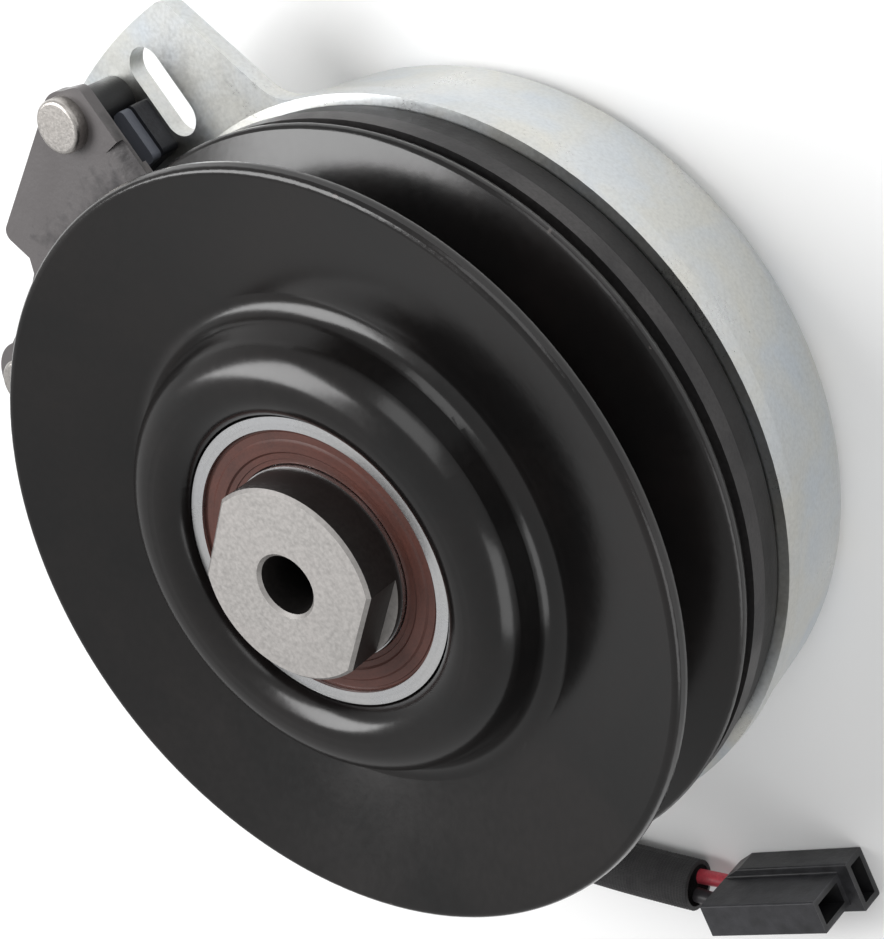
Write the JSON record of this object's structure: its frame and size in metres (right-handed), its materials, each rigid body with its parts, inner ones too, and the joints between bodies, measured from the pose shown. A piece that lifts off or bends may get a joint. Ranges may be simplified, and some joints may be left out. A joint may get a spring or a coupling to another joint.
{
  "type": "electromagnetic clutch",
  "caption": "Electric power take-off clutch and brake of a ride-on mower: belt pulley on a bearing, hub with flats, rotor, armature, coil shell with slotted ear, and a short wired connector.",
  "frame": {"origin": "on the crankshaft's axis in the plane of the field shell's flat back, which is also the mouth of the crankshaft bore", "axes": "+Z along the shaft from the back to the hub nose, +Y through the anti-rotation slot, +X to the right of the slot seen from the front with the slot up"},
  "size_m": [0.1438, 0.2104, 0.0699],
  "materials": {
    "zinc_plate": "bright zinc plate",
    "black_coat": "satin black coat",
    "blackened_steel": "blackened, matt edge",
    "grey_steel": "satin",
    "bearing_steel": "ground",
    "spring_steel": "blued",
    "hub_steel": "sintered, machined face",
    "seal_rubber": "satin red-brown",
    "cage_plastic": "natural",
    "magnet": "sintered ferrite",
    "lining": "pressed friction lining",
    "copper_wire": "enamelled copper",
    "bobbin_plastic": "natural",
    "potting_resin": "cast resin",
    "black_plastic": "matt",
    "black_rubber": "matt",
    "braid": "braided",
    "red_wire": "satin",
    "tinned_brass": "tin plated"
  },
  "bodies": {
    "field": {"field_shell": "zinc_plate", "inner_pole": "grey_steel", "coil_bobbin": "bobbin_plastic", "coil_winding": "copper_wire", "potting_ring": "potting_resin", "field_outer_race": "bearing_steel", "field_bearing_seals": "seal_rubber", "pole_circlip": "spring_steel", "brake_plate": "blackened_steel", "brake_pins": "bearing_steel", "pin_bushes": "black_plastic", "magnet_pole_shoes": "blackened_steel", "brake_magnets": "magnet", "lead_boot": "black_rubber", "lead_sleeve": "braid", "lead_wire_red": "red_wire", "lead_wire_black": "black_rubber", "connector_housing": "black_plastic", "connector_blades": "tinned_brass"},
    "rotor": {"rotor_hub": "hub_steel", "rotor_disc": "blackened_steel", "friction_lining": "lining", "bearing_spacer": "grey_steel", "boss_circlip": "spring_steel", "field_inner_race": "bearing_steel", "pulley_inner_race": "bearing_steel"},
    "pulley": {"front_sheave_half": "black_coat", "rear_sheave_half": "black_coat", "pulley_outer_race": "bearing_steel", "pulley_front_seal": "seal_rubber", "pulley_rear_seal": "seal_rubber", "leaf_springs": "spring_steel", "spring_posts": "grey_steel", "post_rivets": "grey_steel"},
    "armature": {"armature_plate": "blackened_steel", "armature_rivets": "grey_steel"},
    "pulley_cage": {"pulley_balls": "bearing_steel", "pulley_ball_cage": "cage_plastic"},
    "field_cage": {"field_balls": "bearing_steel", "field_ball_cage": "cage_plastic"}
  },
  "joints": [
    {"name": "rotor_spin", "type": "hinge", "parent": "field", "child": "rotor", "pos_m": [0, 0, 0], "axis": [0, 0, 1], "continuous": true},
    {"name": "pulley_spin", "type": "hinge", "parent": "rotor", "child": "pulley", "pos_m": [0, 0, 0], "axis": [0, 0, 1], "continuous": true},
    {"name": "armature_pull_in", "type": "slide", "parent": "pulley", "child": "armature", "axis": [0, 0, -1], "range_m": [0, 0.00035], "stiffness_N_per_m": 60000, "springref_m": -0.001, "deforming": ["leaf_springs"]},
    {"name": "pulley_cage_spin", "type": "hinge", "parent": "rotor", "child": "pulley_cage", "pos_m": [0, 0, 0], "axis": [0, 0, 1], "continuous": true},
    {"name": "field_cage_spin", "type": "hinge", "parent": "field", "child": "field_cage", "pos_m": [0, 0, 0], "axis": [0, 0, 1], "continuous": true}
  ],
  "couplings": [
    {"joint": "pulley_cage_spin", "follows": "pulley_spin", "ratio": 0.5752},
    {"joint": "field_cage_spin", "follows": "rotor_spin", "ratio": 0.4412}
  ]
}
